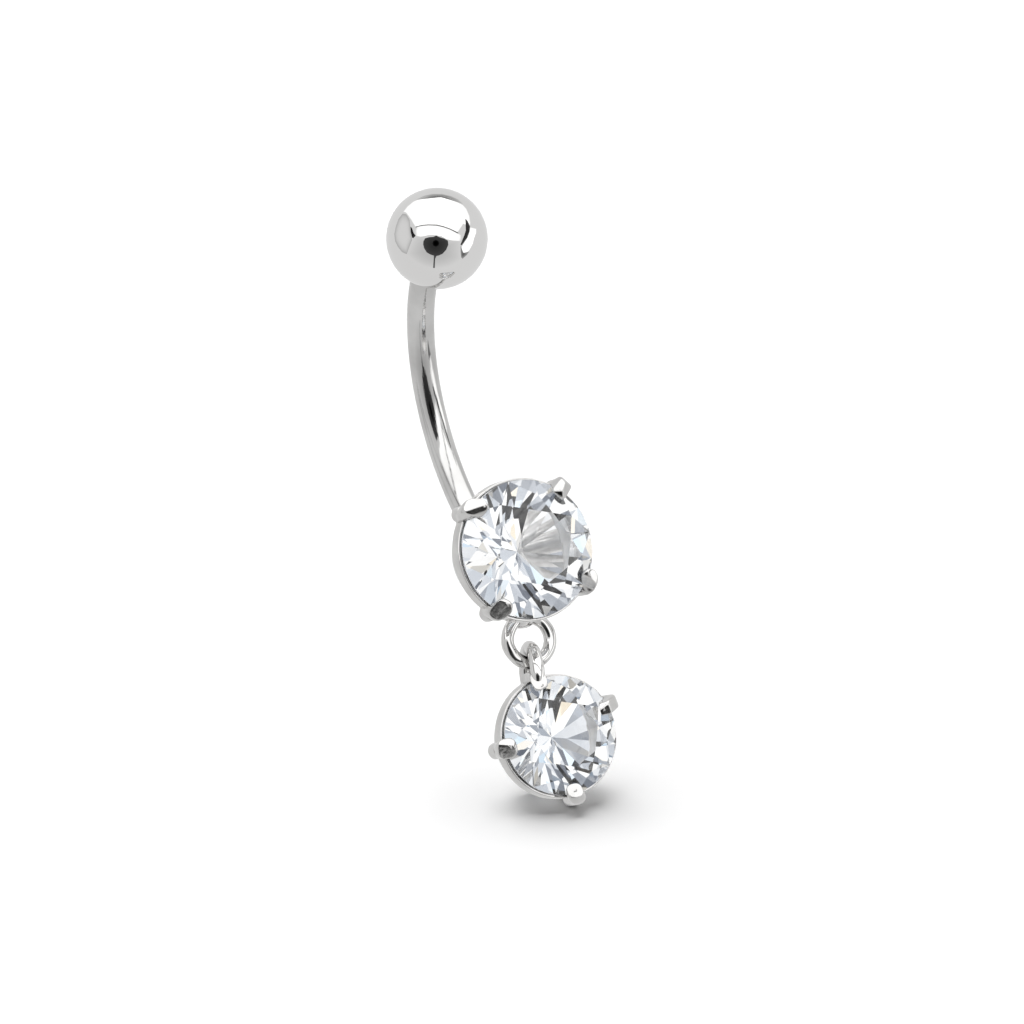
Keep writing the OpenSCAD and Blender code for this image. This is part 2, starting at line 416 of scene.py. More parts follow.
@dataclass(frozen=True)
class PolishedSteel:
    """Bright steel with faint soft waves, fine polishing lines, an uneven polish and, where set, shade
    painted into its crevices.

    The size and height of waves, the height of lines and the reach of the painted crevice shade are in
    mm. A pair of limits gives the noise's values between which polish or colour changes, and the
    painted shade's pair gives the occlusion values over which it fades out.
    """

    name: str
    tint: tuple[float, float, float] = (0.85, 0.846, 0.84)
    shade: tuple[float, float, float] = (0.8, 0.793, 0.785)
    gloss: tuple[float, float] = (0.02, 0.07)
    gloss_limits: tuple[float, float] = (0.35, 0.7)
    wave_size: float = 0.9
    wave_height: float = 0.004
    wave_detail: float = 2.0
    stain_share: float = 0.4
    stain_limits: tuple[float, float] = (0.3, 0.6)
    line_height: float = 0.0
    lines_along: float = 3.0
    lines_around: float = 90.0
    fine_detail: float = 3.0
    # Painted shade: how far ambient occlusion reaches, the grey it darkens to, the occlusion values
    # over which it fades, and its samples.
    painted_shade_reach: float = 0.0
    painted_shade_grey: float = 0.12
    painted_shade_limits: tuple[float, float] = (0.12, 0.62)
    painted_shade_samples: int = 8

    def colour(self, n: Nodes, place: bpy.types.NodeSocket) -> bpy.types.NodeSocket:
        """The steel's colour: two tones in soft patches, with shade painted darker deep in crevices
        and at contacts.
        """
        size = self.wave_size * MM
        patch = n.add("ShaderNodeTexNoise", scale=self.stain_share / size, detail=self.fine_detail)
        n.join(place, patch.inputs["Vector"])
        shades = zip(self.stain_limits, (self.shade, self.tint))
        colour = n.ramp(patch.outputs["Fac"], *shades)
        if self.painted_shade_reach > 0:
            # Painted shade: the colour is darkened where ambient occlusion finds other surfaces close
            # by.
            occlusion_for_shade = n.add("ShaderNodeAmbientOcclusion", distance=self.painted_shade_reach * MM)
            occlusion_for_shade.samples = self.painted_shade_samples
            shades = zip(self.painted_shade_limits, ((self.painted_shade_grey,) * 3, WHITE))
            colour = n.multiply(colour, n.ramp(occlusion_for_shade.outputs["AO"], *shades))
        return colour

    def material(self) -> bpy.types.Material:
        """Builds the finish's nodes."""
        n = Nodes(bpy.data.materials.new(self.name))
        shader = n.add("ShaderNodeBsdfPrincipled", metallic=1.0)
        place = n.add("ShaderNodeTexCoord")
        size = self.wave_size * MM
        waves = n.add("ShaderNodeTexNoise", scale=1 / size, detail=self.wave_detail)
        n.join(place.outputs["Object"], waves.inputs["Vector"])
        bump = n.add("ShaderNodeBump", strength=1.0, distance=self.wave_height * MM)
        n.join(waves.outputs["Fac"], bump.inputs["Height"])
        rub = n.add("ShaderNodeMapRange", to_min=self.gloss[0], to_max=self.gloss[1])
        for label, limit in zip(("From Min", "From Max"), self.gloss_limits):
            rub.inputs[label].default_value = limit
        n.join(waves.outputs["Fac"], rub.inputs["Value"])
        n.join(rub.outputs["Result"], shader.inputs["Roughness"])
        n.join(self.colour(n, place.outputs["Object"]), shader.inputs["Base Color"])
        last = bump
        if self.line_height > 0:
            flat = n.add("ShaderNodeUVMap", uv_map="along_round")
            stretch = n.add("ShaderNodeMapping", scale=(self.lines_along, self.lines_around, 1.0))
            lines = n.add("ShaderNodeTexNoise", scale=1.0, detail=self.fine_detail)
            n.join(flat.outputs["UV"], stretch.inputs["Vector"])
            n.join(stretch.outputs["Vector"], lines.inputs["Vector"])
            last = n.add("ShaderNodeBump", strength=1.0, distance=self.line_height * MM)
            n.join(lines.outputs["Fac"], last.inputs["Height"])
            n.join(bump.outputs["Normal"], last.inputs["Normal"])
        n.join(last.outputs["Normal"], shader.inputs["Normal"])
        return n.close(shader)


@dataclass(frozen=True)
class CutCrystal:
    """Clear cut stone: bends light strongly, with a polish or the girdle's frosting."""

    name: str
    bend: float = 1.6
    gloss: float = 0.0
    clear: float = 1.0
    tint: tuple[float, float, float] = WHITE

    def material(self) -> bpy.types.Material:
        """Builds the finish's nodes."""
        n = Nodes(bpy.data.materials.new(self.name))
        shader = n.add(
            "ShaderNodeBsdfPrincipled", base_color=(*self.tint, 1.0), roughness=self.gloss,
            ior=self.bend, transmission_weight=self.clear,
        )
        return n.close(shader)


@dataclass(frozen=True)
class Seat:
    """Where a setting stands: the middle of its stone's girdle, in mm."""

    y: float
    z: float

    def place(self, local: np.ndarray) -> np.ndarray:
        """Right, up and front distances as places in the frame."""
        return np.stack([local[..., 0], self.y - local[..., 2], self.z + local[..., 1]], axis=-1)


@dataclass
class CutStone:
    """A round brilliant cut from flat planes, at the place and size of its solid.

    Shares are of the stone's diameter or radius, and angles are in degrees. The underside is cut
    at its own angle, a little flatter than the solid's. Points are held to a fineness of
    `points_per_mm`, and the crown's planes are those whose facing lies between two limits.
    """

    node: str
    name: str
    body: str
    slot: Slot
    table_share: float = 0.57
    girdle_share: float = 0.03
    star_share: float = 0.5
    lower_share: float = 0.77
    crown_deg: float = 34.5
    pavilion_deg: float = 41.0
    cut_pavilion_deg: float = 40.7
    mains: int = 8
    girdle_sides: int = 96
    points_per_mm: float = 1e5
    crown_facing: tuple[float, float] = (0.1, 0.99)
    least_steep: float = 0.05
    d: float = field(init=False)
    seat: Seat = field(init=False)

    def __post_init__(self) -> None:
        """Reads the diameter and the girdle's place from the solid's box."""
        low, high = (np.array(corner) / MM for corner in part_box(self.node))
        crown = math.tan(math.radians(self.crown_deg))
        pavilion = math.tan(math.radians(self.pavilion_deg))
        depth = self.girdle_share + (1 - self.table_share) / 2 * crown + pavilion / 2
        self.d = float(high[1] - low[1]) / depth
        self.seat = Seat(float(high[1]) - self.point_depth, float(low[2] + high[2]) / 2)

    @property
    def r(self) -> float:
        """The stone's radius."""
        return self.d / 2

    @property
    def girdle_h(self) -> float:
        """Half the girdle's thickness."""
        return self.girdle_share * self.r

    @property
    def point_depth(self) -> float:
        """Distance from the girdle's middle back to the point."""
        return self.girdle_h + self.r * math.tan(math.radians(self.pavilion_deg))

    def planes(self) -> tuple[np.ndarray, np.ndarray]:
        """The cut's planes as outward normals and distances from the girdle's middle.

        Formula: a facet's plane passes through a point at distance x along its own azimuth and
        at height h, and falls by its slope for each unit of x.

        Returns:
            The normals, n by 3, and the distances, n.
        """
        half, quarter = math.pi / self.mains, math.pi / self.mains / 2
        crown = math.tan(math.radians(self.crown_deg))
        pavilion = math.tan(math.radians(self.cut_pavilion_deg))
        r, g = self.r, self.girdle_h
        table_r = self.table_share * r
        table_h = g + (r - table_r) * crown
        edge = table_r * math.cos(half)
        star_r = edge + self.star_share * (r - edge)
        star_h = g + (r - star_r * math.cos(half)) * crown
        lower_r = (1 - self.lower_share) * r
        lower_h = g + (r - lower_r * math.cos(half)) * pavilion
        squeeze = math.cos(quarter)
        star_fall = (table_h - star_h) / (star_r - edge)
        upper_fall = (star_h - g) / ((r - star_r) * squeeze)
        lower_fall = (lower_h - g) / ((r - lower_r) * squeeze)
        sides = FULL_TURN / self.girdle_sides
        rows = (
            (self.mains, 0.0, r, g, crown, 1),
            (self.mains, half, edge, table_h, star_fall, 1),
            (2 * self.mains, quarter, r * squeeze, g, upper_fall, 1),
            (2 * self.mains, quarter, r * squeeze, g, lower_fall, -1),
            (self.mains, 0.0, r, g, pavilion, -1),
        )
        normals, offsets = [[[0.0, 0.0, 1.0]]], [[table_h]]
        for count, first, x, h, fall, way in rows:
            a = first + np.arange(count) * FULL_TURN / count
            normal = unit(np.stack([fall * np.cos(a), fall * np.sin(a), way + 0 * a], axis=1))
            normals.append(normal)
            offsets.append(np.full(count, (fall * x + h) / math.hypot(fall, 1.0)))
        a = sides * (np.arange(self.girdle_sides) + 0.5)
        normals.append(np.stack([np.cos(a), np.sin(a), 0 * a], axis=1))
        offsets.append(np.full(self.girdle_sides, r * math.cos(sides / 2)))
        return np.concatenate(normals), np.concatenate(offsets)

    def facets(self) -> list[np.ndarray]:
        """Each plane's facet: a large square on it, cut down by every other plane.

        Returns:
            One outline of points a facet, seen from outside counter-clockwise.
        """
        normals, offsets = self.planes()
        outlines, nearly_aside = [], 0.9
        for i, (normal, offset) in enumerate(zip(normals, offsets)):
            helper = SIDE if abs(normal[0]) < nearly_aside else UP
            a = unit(np.cross(helper, normal))
            b = np.cross(normal, a)
            outline = normal * offset + self.d * np.array([a + b, b - a, -a - b, a - b])
            for j in np.nonzero(np.arange(len(offsets)) != i)[0]:
                outline = self.trim(outline, normals[j], offsets[j])
                if len(outline) < 3:
                    break
            outlines.append(outline)
        return outlines

    @staticmethod
    def trim(outline: np.ndarray, normal: np.ndarray, offset: float) -> np.ndarray:
        """Cuts off what lies past a plane, with new points where the outline crosses it."""
        past = outline @ normal - offset
        if (past <= 0).all():
            return outline
        after, past_after = np.roll(outline, -1, axis=0), np.roll(past, -1)
        crosses = (past > 0) != (past_after > 0)
        share = np.where(crosses, past / np.where(crosses, past - past_after, 1.0), 0.0)
        cut = outline + (after - outline) * share[:, None]
        both = np.stack([outline, cut], axis=1).reshape(-1, 3)
        return both[np.stack([past <= 0, crosses], axis=1).ravel()]

    def make(self, polish: bpy.types.Material, frosting: bpy.types.Material) -> None:
        """Builds the stone's mesh, with its girdle frosted.

        Args:
            polish: finish of the facets.
            frosting: finish of the girdle.
        """
        outlines = self.facets()
        points = np.round(np.concatenate(outlines) * self.points_per_mm)
        places, index = np.unique(points, axis=0, return_inverse=True)
        index = index.ravel()
        faces, frosted, start = [], [], 0
        for number, outline in enumerate(outlines):
            ring = index[start:start + len(outline)]
            start += len(outline)
            ring = ring[ring != np.roll(ring, 1)]
            if len(ring) > 2:
                faces.append(ring.tolist())
                frosted.append(number >= len(outlines) - self.girdle_sides)
        mesh = bpy.data.meshes.new(self.name)
        places = self.seat.place(places / self.points_per_mm)
        mesh.from_pydata((places * MM).tolist(), [], faces)
        mesh.materials.append(polish)
        mesh.materials.append(frosting)
        mesh.polygons.foreach_set("material_index", np.array(frosted, np.int32))
        mesh.update()
        fit(put(self.name, mesh), self.body, self.slot, self.node)

    def clear(self, local: np.ndarray, gap: float) -> np.ndarray:
        """Moves points that lie in the stone's room straight outwards to its side.

        Formula: at each height and azimuth the room's radius is the least of the girdle's, of
        those at which the crown's planes pass and of the pavilion cone's, each moved out by the
        gap.

        Args:
            local: points in the setting's own coordinates.
            gap: clearance round the stone.

        Returns:
            The points, moved where needed.
        """
        height = local[..., 2]
        radius = np.maximum(np.hypot(local[..., 0], local[..., 1]), TINY)
        normals, offsets = self.planes()
        crown = (normals[:, 2] > self.crown_facing[0]) & (normals[:, 2] < self.crown_facing[1])
        steep = local[..., :2] @ normals[crown, :2].T / radius[..., None]
        left = offsets[crown] + gap - height[..., None] * normals[crown, 2]
        over = (left / np.maximum(steep, self.least_steep)).min(axis=-1)
        pavilion = math.radians(self.pavilion_deg)
        under = self.r + (height + self.girdle_h) / math.tan(pavilion) + gap / math.sin(pavilion)
        room = np.minimum(np.minimum(over, under), self.r + gap)
        scale = np.maximum(radius, room) / radius
        return np.stack([local[..., 0] * scale, local[..., 1] * scale, height], axis=-1)


@dataclass(frozen=True)
class Filed:
    """A flat filed on a claw's head: how far it faces right and up in the picture, and its height.

    A facing of 0 looks straight at the viewer and one of 1 is seen on edge. The height, in mm, is
    that of the flat above the girdle's middle, over the middle of the head.
    """

    right: float
    up: float
    height: float

    def normal(self) -> np.ndarray:
        """The flat's outward direction in a setting's own coordinates."""
        right, top, back = view_axes()
        deep = math.sqrt(1 - self.right**2 - self.up**2)
        out = self.right * right + self.up * top + deep * back
        return np.array([out[0], out[2], -out[1]])


@dataclass(frozen=True)
class Claw:
    """One claw of a setting: its angle at the foot, how far its head leans round, and its head.

    Angles are in degrees, seen from the front, and lengths in mm. A squareness of 2 gives a round
    section, and a higher one a square section with rounder corners.
    """

    angle: float
    lean: float = 0.0
    head_out: float = 0.0
    head_h: float = 1.02
    head_scale: float = 1.0
    square: float = 2.5
    twist: float = 0.0
    filed: tuple[Filed, ...] = ()


@dataclass
class ClawSetting:
    """The band, claws and back ring that hold one stone.

    Lengths are in mm. A value ending in _steps, _sides or _turns is a number of points, one ending
    in _power an exponent, and a pair of `from` and `over` is where a change starts and how far it
    takes, in heights above the girdle's middle.
    """

    stone: CutStone
    claws: tuple[Claw, ...]
    base_r: float
    seat_gap: float = 0.05
    band_lip: float = 0.15
    band_ledge: float = 0.38
    band_back: float = 0.26
    band_h: float = 0.96
    band_gap: float = 0.14
    claw_half: float = 0.475
    claw_out: float = 0.2
    head_in: float = 0.42
    shoulder_back: float = 0.5
    base_w: float = 1.05
    base_t: float = 0.75
    base_past_point: float = 0.1
    fillet: float = 0.16
    band_turns: int = 960
    band_round: float = 0.06
    back_turns: int = 240
    back_round: float = 0.16
    claw_steps: int = 150
    claw_sides: int = 72
    crowd_power: float = 1.6
    shoulder_soft: float = 0.2
    bend_power: float = 1.5
    dome: float = 0.34
    dome_power: float = 2.6
    dome_end: float = 0.995
    shank_square: float = 2.5
    head_from: float = -0.4
    head_over: float = 0.9
    square_from: float = -0.2
    square_over: float = 0.7
    oval: float = 1.04
    filed_soft: float = 0.035
    filed_from: float = 0.1
    filed_over: float = 0.3

    @property
    def base_depth(self) -> float:
        """Distance from the girdle back to the middle of the back ring."""
        return self.stone.point_depth + self.base_past_point

    def band(self) -> Shell:
        """The band under the stone's edge, swelling softly into each claw.

        Formula: a rounded outline is turned about the stone's axis. Its outer wall moves out to
        the smooth greater of its own radius and each claw's round outline in polar form.
        """
        turns = self.band_turns
        r = self.stone.r
        outer, inner = r + self.band_lip, r - self.band_ledge
        slope = math.tan(math.radians(self.stone.pavilion_deg))
        rim = r + self.band_gap - (self.band_back - self.stone.girdle_h) / slope
        back = -self.band_back - self.band_h
        corners = np.array(
            [
                [outer, -self.band_back],
                [rim, -self.band_back],
                [inner, -self.band_back - (rim - inner) * slope],
                [inner, back],
                [outer, back],
            ]
        )
        outline = rounded(corners, self.band_round)
        angle = np.linspace(0, FULL_TURN, turns, endpoint=False)[:, None]
        turn = np.radians([c.angle for c in self.claws])[None]
        off = angle - turn
        middle = r + self.claw_out
        inside = self.claw_half**2 - (middle * np.sin(off)) ** 2
        reach = np.where(
            (inside > 0) & (np.cos(off) > 0),
            middle * np.cos(off) + np.sqrt(np.maximum(inside, 0)),
            0.0,
        ).max(axis=1)
        swell = soft_step(np.maximum(reach - outer, -1.0), self.fillet)
        weight = ease((outline[:, 0] - inner) / (outer - inner))
        profile = np.repeat(outline[None], turns, axis=0)
        profile[..., 0] += swell[:, None] * weight[None]
        return skin(self.stone.seat.place(revolve(profile, turns)), wrap_along=True)

    def back_ring(self) -> Shell:
        """The flat ring at the back: a rounded rectangle turned about the stone's axis."""
        w, t = self.base_w / 2, self.base_t / 2
        corners = np.array([[w, t], [-w, t], [-w, -t], [w, -t]]) + [self.base_r, -self.base_depth]
        grid = revolve(rounded(corners, self.back_round), self.back_turns)
        return skin(self.stone.seat.place(grid), wrap_along=True)

    def claw(self, claw: Claw) -> Shell:
        """One claw: an oval section carried from the back ring up over the stone.

        Formula: the middle line's radius grows with height up to the shoulder, stays, and bends
        in at the head, each by a softened ramp. The section is round to the power of its
        squareness and closes at the top like a dome. The head is then filed and cleared.
        """
        start, top = -self.base_depth, claw.head_h
        u = np.linspace(0, 1, self.claw_steps)
        h = start + (top - start) * (1 - (1 - u) ** self.crowd_power)
        shoulder_r = self.stone.r + self.claw_out
        rise = (shoulder_r - self.base_r) / (self.base_depth - self.shoulder_back)
        radius = shoulder_r - rise * soft_step(-self.shoulder_back - h, self.shoulder_soft)
        radius += (claw.head_out - self.head_in) * ease(h / top) ** self.bend_power
        turn = np.radians(claw.angle + claw.lean * ease((h + self.band_back) / (top + self.band_back)))
        path = np.stack([radius * np.cos(turn), radius * np.sin(turn), h], axis=1)
        across = np.stack([-np.sin(turn), np.cos(turn), 0 * turn], axis=1)
        close = np.clip((h - (top - self.dome)) / self.dome, 0, self.dome_end)
        head = 1 + (claw.head_scale - 1) * ease((h - self.head_from) / self.head_over)
        size = self.claw_half * head * (1 - close**self.dome_power) ** (1 / self.dome_power)
        a = np.linspace(0, FULL_TURN, self.claw_sides, endpoint=False)[None]
        squared = ease((h - self.square_from) / self.square_over)[:, None]
        e = self.shank_square + (claw.square - self.shank_square) * squared
        face = a - math.radians(claw.twist)
        blunt = (np.abs(np.cos(face)) ** e + np.abs(np.sin(face)) ** e) ** (-1 / e)
        section = size[:, None] * blunt
        grid = tube(path, across, section, section * self.oval)
        return skin(self.stone.seat.place(self.finish_head(grid, claw)), capped=True)

    def finish_head(self, grid: np.ndarray, claw: Claw) -> np.ndarray:
        """Files a claw's head flat and clears it from the stone.

        Formula: a point past a flat's plane is moved back to it along the plane's normal, with a
        softened ramp at the edge, for points above the girdle only.
        """
        turn = math.radians(claw.angle + claw.lean)
        out = self.stone.r + self.claw_out + claw.head_out - self.head_in
        above = ease((grid[..., 2] - self.filed_from) / self.filed_over)[..., None]
        for flat in claw.filed:
            middle = np.array([out * math.cos(turn), out * math.sin(turn), flat.height])
            normal = flat.normal()
            past = soft_step((grid - middle) @ normal, self.filed_soft)
            grid = grid - past[..., None] * above * normal
        return self.stone.clear(grid, self.seat_gap)

    def shells(self) -> list[Shell]:
        """The skins of the setting's front: its band and claws."""
        return [self.band(), *(self.claw(c) for c in self.claws)]


@dataclass
class TopBall:
    """The ball with its blind hole and the shallow recess for the bar. Lengths are in mm."""

    finish: PolishedSteel
    recess_r: float = 0.85
    recess_depth: float = 0.4
    hole_r: float = 0.65
    hole_depth: float = 3.5
    edge: float = 0.05
    lip_share: float = 0.4
    bevel_share: float = 0.3
    pole: float = 0.002
    arc_steps: int = 180
    turns: int = 256
    axis: np.ndarray = field(init=False)
    centre: np.ndarray = field(init=False)
    r: float = field(init=False)

    def __post_init__(self) -> None:
        """Reads the place and size from the ball's solid, and the axis from its joint."""
        low, high = (np.array(corner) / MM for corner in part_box("top_ball"))
        self.centre, self.r = (low + high) / 2, float(high[0] - low[0]) / 2
        self.axis = unit(np.array(joint("ball")["axis"], float))

    def make(self) -> None:
        """Turns the ball's outline about the bar's line: a long arc, then the recess and hole."""
        mouth = math.asin((self.recess_r + self.edge) / self.r)
        arc = np.linspace(self.pole, math.pi - mouth, self.arc_steps)
        outside = np.stack([self.r * np.sin(arc), self.r * np.cos(arc)], axis=1)
        foot = -self.r * math.cos(mouth)
        lip = foot - self.lip_share * self.edge
        bevel = self.bevel_share * self.edge
        inner = np.array(
            [
                [self.recess_r + bevel, lip + bevel],
                [self.recess_r, lip + self.edge],
                [self.recess_r, foot + self.recess_depth],
                [self.hole_r, foot + self.recess_depth],
                [self.hole_r, foot + self.hole_depth],
                [self.pole, foot + self.hole_depth],
            ]
        )
        grid = revolve(np.concatenate([outside, inner]), self.turns).transpose(1, 0, 2)
        across = np.cross(self.axis, SIDE)
        turned = grid @ np.stack([SIDE, across, self.axis])
        shell = skin(turned + self.centre, capped=True)
        build("polished_ball", [shell], self.finish.material(), "ball", Slot.BALL, "top_ball")


@dataclass
class CurvedBar:
    """The bar's arc with its shoulder and the threaded end.

    Lengths are in mm. The pin starts a little inside the bar. Its thread fades in and out over
    short ways, and its tip is rounded.
    """

    ball: TopBall
    finish: PolishedSteel
    down_deg: float = 54.5
    ball_sink: float = 0.35
    pin_r: float = 0.6
    pin_len: float = 3.2
    thread_pitch: float = 0.25
    thread_depth: float = 0.09
    chamfer: float = 0.12
    chamfer_soft: float = 0.02
    arc_steps: int = 260
    arc_sides: int = 96
    pin_from: float = -0.3
    pin_steps: int = 330
    pin_sides: int = 48
    fade_from: float = 0.1
    fade_in: float = 0.2
    fade_out: float = 0.4
    tip_round: float = 0.12
    tip_past: float = 0.02

    def make(self) -> None:
        """Builds the arc and the thread as two skins of one piece."""
        r = float(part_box("bar_and_setting")[1][1]) / MM
        up = math.atan2(-self.ball.axis[1], self.ball.axis[2])
        beyond = self.ball.r - self.ball_sink
        curve_r = (self.ball.centre[2] - beyond * math.cos(up)) / math.sin(up)
        angle = np.linspace(-math.radians(self.down_deg), up, self.arc_steps)
        path = np.stack(
            [0 * angle, curve_r * (np.cos(angle) - 1), curve_r * np.sin(angle)], axis=1
        )
        cut = soft_step(self.chamfer - (up - angle) * curve_r, self.chamfer_soft)
        size = np.minimum(r - cut[:, None] + np.zeros((1, self.arc_sides)), r)
        arc = skin(tube(path, SIDE, size, size), capped=True)
        z = np.linspace(self.pin_from, self.pin_len, self.pin_steps)[:, None]
        a = np.linspace(0, FULL_TURN, self.pin_sides, endpoint=False)[None]
        tooth = 0.5 - 0.5 * np.cos(FULL_TURN * z / self.thread_pitch - a)
        left = self.pin_len - z
        fade = ease(left / self.fade_out) * ease((z - self.fade_from) / self.fade_in)
        radius = self.pin_r - self.thread_depth * (1 - tooth * fade)
        radius = radius * np.sqrt(np.clip((left + self.tip_past) / self.tip_round, 0, 1))
        pin = (
            path[-1]
            + z[..., None] * self.ball.axis
            + (radius * np.cos(a))[..., None] * SIDE
            + (radius * np.sin(a))[..., None] * np.cross(self.ball.axis, SIDE)
        )
        shells = [arc, skin(pin, capped=True)]
        steel = self.finish.material()
        build("curved_bar", shells, steel, "barbell", Slot.BAR, "bar_and_setting")


@dataclass
class MainSetting:
    """The large stone's setting with its cross bars, and the eye soldered under it.

    Lengths are in mm, and a value ending in _steps, _sides or _turns is a number of points.
    """

    setting: ClawSetting
    finish: PolishedSteel
    back_finish: PolishedSteel
    eye_finish: PolishedSteel
    cross_r: float = 0.5
    cross_level_r: float = 0.425
    point_gap: float = 0.06
    eye_r: float = 1.325
    eye_wire_r: float = 0.375
    neck_r: float = 0.325
    eye_aside: float = 0.1
    solder_half: tuple[float, float, float] = (0.95, 0.42, 0.46)
    solder_drop: float = 0.5
    solder_steps: int = 60
    solder_sides: int = 96
    solder_lumps: float = 0.05
    solder_waves: int = 4
    solder_seed: int = 31
    pole: float = 0.02
    rod_steps: int = 12
    rod_sides: int = 48
    eye_turns: int = 240
    eye_seed: int = 11

    def solder(self, top: np.ndarray) -> Shell:
        """The lump of solder at the eye's top: a sphere's grid stretched and made uneven."""
        down = np.linspace(self.pole, math.pi - self.pole, self.solder_steps)[:, None]
        turn = np.linspace(0, FULL_TURN, self.solder_sides, endpoint=False)[None]
        rows, columns = down + 0 * turn, turn + 0 * down
        size = 1 + ripple(2 * rows, columns, self.solder_lumps, self.solder_seed, self.solder_waves)
        flat = np.sin(rows)
        ball = np.stack([flat * np.cos(columns), flat * np.sin(columns), np.cos(rows)], axis=-1)
        grid = ball * size[..., None] * np.array(self.solder_half) + top - self.solder_drop * UP
        return skin(grid, capped=True)

    def rod(self, a: tuple[float, float, float], b: tuple[float, float, float], r: float) -> Shell:
        """A straight round rod between two points of the setting."""
        path = np.linspace(a, b, self.rod_steps)
        across = UP if abs(b[2] - a[2]) < TINY else SIDE
        size = np.full((self.rod_steps, self.rod_sides), r)
        return skin(self.setting.stone.seat.place(tube(path, across, size, size)), capped=True)

    def eye(self) -> list[Shell]:
        """The eye under the setting, the neck that carries it and the solder between them."""
        pivot = np.array(joint("drop")["pos_m"]) / MM
        centre = pivot + self.eye_r * UP + self.eye_aside * SIDE
        a = np.linspace(0, FULL_TURN, self.eye_turns, endpoint=False)
        path = centre + self.eye_r * (np.cos(a)[:, None] * SIDE + np.sin(a)[:, None] * UP)
        size = hammered_wire(a, self.eye_wire_r, self.eye_seed)
        loop = np.concatenate([path[-1:], path, path[:1]])
        wide = np.concatenate([size[-1:], size, size[:1]])
        ring = skin(tube(loop, FRONT, wide, wide)[1:-1], wrap_along=True)
        base = self.setting.base_depth
        eye_top = centre[2] + self.eye_r - self.setting.stone.seat.z
        neck = self.rod((0, -self.setting.base_r, -base), (0, eye_top, -base), self.neck_r)
        return [ring, neck, self.solder(centre + (self.eye_r + self.eye_wire_r) * UP)]

    def make(self) -> None:
        """Builds the setting, its back with the cross bars, and the eye."""
        r = self.setting.base_r
        depth = self.setting.stone.point_depth + self.point_gap + self.cross_r
        bars = [
            self.rod((0, -r, -depth), (0, r, -depth), self.cross_r),
            self.rod((-r, 0, -depth), (r, 0, -depth), self.cross_level_r),
        ]
        for name, shells, steel in (
            ("main_setting", self.setting.shells(), self.finish),
            ("main_setting_back", [self.setting.back_ring(), *bars], self.back_finish),
            ("eye_ring", self.eye(), self.eye_finish),
        ):
            build(name, shells, steel.material(), "barbell", Slot.BAR, "bar_and_setting")


@dataclass
class Drop:
    """The hanging stone's setting with the ring that holds it in the eye.

    Lengths are in mm, and angles in degrees round the ring, from the rear and over its top.
    """

    setting: ClawSetting
    finish: PolishedSteel
    back_finish: PolishedSteel
    ring_finish: PolishedSteel
    ring_r: float = 1.5
    wire_r: float = 0.4
    ring_gap: float = 0.1
    eye_wire_r: float = 0.375
    from_deg: float = -48.0
    to_deg: float = 200.0
    twist_deg: float = 9.0
    lean_deg: float = 10.0
    swing_room: float = 0.14
    swing_soft: float = 0.03
    least_far: float = 0.01
    ring_steps: int = 200
    ring_seed: int = 23

    def clear_swing(self, shell: Shell, pivot: np.ndarray) -> Shell:
        """Moves points away from the swing's line, to keep them off the eye as the drop swings.

        Formula: a point's distance from the line becomes the smooth greater of itself and the
        room, which is the eye's wire and a little more.

        Args:
            shell: a skin of the setting, in mm.
            pivot: a point of the line, which runs to the side.

        Returns:
            The skin, moved where needed.
        """
        off = (shell.points - pivot) * (1 - SIDE)
        far = np.maximum(np.linalg.norm(off, axis=1, keepdims=True), self.least_far)
        short = self.eye_wire_r + self.swing_room - far
        shell.points = shell.points + off / far * soft_step(short, self.swing_soft)
        return shell

    def ring(self, pivot: np.ndarray) -> Shell:
        """The open ring that hangs in the eye, leaned and twisted about the swing's line."""
        lean, twist = math.radians(self.lean_deg), math.radians(self.twist_deg)
        up = math.cos(lean) * UP + math.sin(lean) * SIDE
        crest = pivot + (self.eye_wire_r + self.ring_gap + self.wire_r) * UP
        centre = crest - self.ring_r * up
        a = np.radians(np.linspace(self.from_deg, self.to_deg, self.ring_steps))
        rearward = math.sin(twist) * np.cross(up, FRONT) - math.cos(twist) * FRONT
        path = centre + self.ring_r * (np.cos(a)[:, None] * rearward + np.sin(a)[:, None] * up)
        size = hammered_wire(a, self.wire_r, self.ring_seed)
        return skin(tube(path, np.cross(rearward, up), size, size), capped=True)

    def make(self) -> None:
        """Builds the setting, its back and its ring."""
        pivot = np.array(joint("drop")["pos_m"]) / MM
        front = [self.clear_swing(shell, pivot) for shell in self.setting.shells()]
        for name, shells, steel in (
            ("drop_setting_claws", front, self.finish),
            ("drop_setting_back", [self.setting.back_ring()], self.back_finish),
            ("drop_ring", [self.ring(pivot)], self.ring_finish),
        ):
            build(name, shells, steel.material(), "drop", Slot.DROP, "drop_setting")


class Seen(Enum):
    """What a studio card shows in."""

    METAL = "metal"
    STONE = "stone"


@dataclass(frozen=True)
class Card:
    """A studio card, drawn as it shows in the ball's face.

    Corners are places on the ball seen from the camera, right and up, in ball radii. The glow
    goes from the middle's value to the rim's, and a higher fall keeps the change near the rim.
    """

    name: str
    corners: tuple[tuple[float, float], ...]
    glow: float
    rim: float
    fall: float = 3.0
    lights: bool = False
    seen: Seen = Seen.METAL


